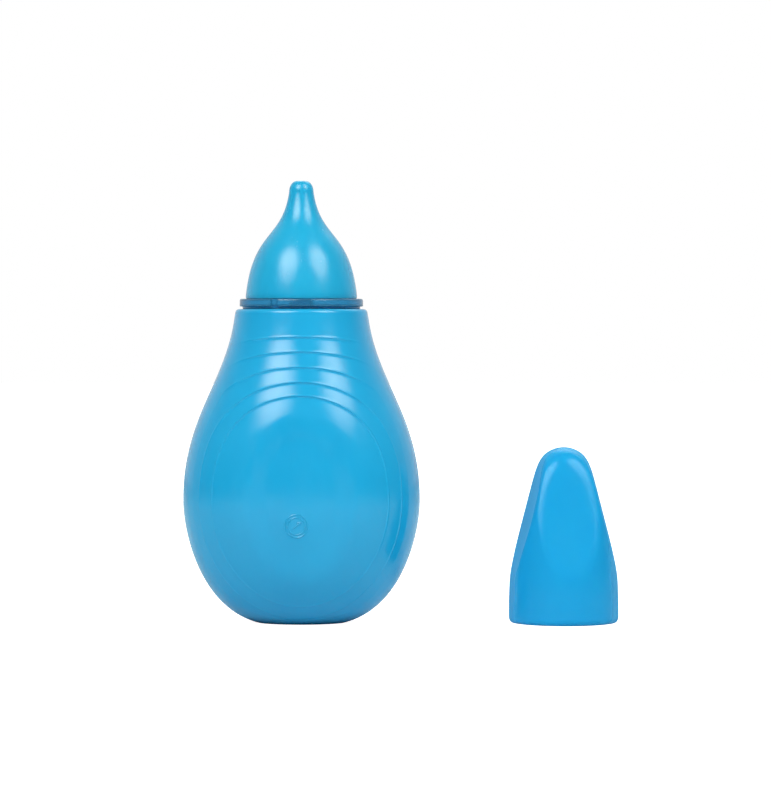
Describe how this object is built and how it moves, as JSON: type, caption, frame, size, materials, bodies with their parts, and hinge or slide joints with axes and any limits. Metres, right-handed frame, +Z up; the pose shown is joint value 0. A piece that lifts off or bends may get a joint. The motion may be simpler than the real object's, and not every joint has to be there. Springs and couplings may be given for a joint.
{
  "type": "nasal aspirator",
  "caption": "Hand-squeezed bulb nasal aspirator with a soft nozzle on a translucent connector ring and a separate dust cap standing beside it.",
  "frame": {"origin": "middle of the bulb's flat foot, on the surface that it stands on", "axes": "+Z up along the bulb's and the nozzle's common axis, -Y towards the front, +X towards the dust cap"},
  "size_m": [0.1067, 0.0446, 0.1081],
  "materials": {
    "bulb_soft": "glossy soft PVC, opaque cyan blue",
    "nozzle_soft": "glossy soft elastomer, opaque cyan blue",
    "connector_smoke": "translucent smoky blue polypropylene",
    "cap_clear": "slightly translucent blue polypropylene"
  },
  "bodies": {
    "bulb": {"squeeze_bulb": "bulb_soft"},
    "front_pad": {"front_thumb_pad": "bulb_soft"},
    "rear_pad": {"rear_finger_pad": "bulb_soft"},
    "connector": {"connector": "connector_smoke"},
    "nozzle": {"nozzle": "nozzle_soft"},
    "cap": {"dust_cap": "cap_clear"}
  },
  "joints": [
    {"name": "front_squeeze", "type": "slide", "parent": "bulb", "child": "front_pad", "axis": [0, 1, 0], "range_m": [0, 0.006], "stiffness_N_per_m": 900},
    {"name": "rear_squeeze", "type": "slide", "parent": "bulb", "child": "rear_pad", "axis": [0, -1, 0], "range_m": [0, 0.006], "stiffness_N_per_m": 900},
    {"name": "connector_pull", "type": "slide", "parent": "bulb", "child": "connector", "axis": [0, 0, 1], "range_m": [0, 0.025]},
    {"name": "nozzle_pull", "type": "slide", "parent": "connector", "child": "nozzle", "axis": [0, 0, 1], "range_m": [0, 0.015]},
    {"name": "cap_lift", "type": "slide", "parent": "bulb", "child": "cap", "axis": [0, 0, 1], "range_m": [0, 0.115]}
  ],
  "couplings": [
    {"joint": "rear_squeeze", "follows": "front_squeeze", "ratio": 1}
  ]
}
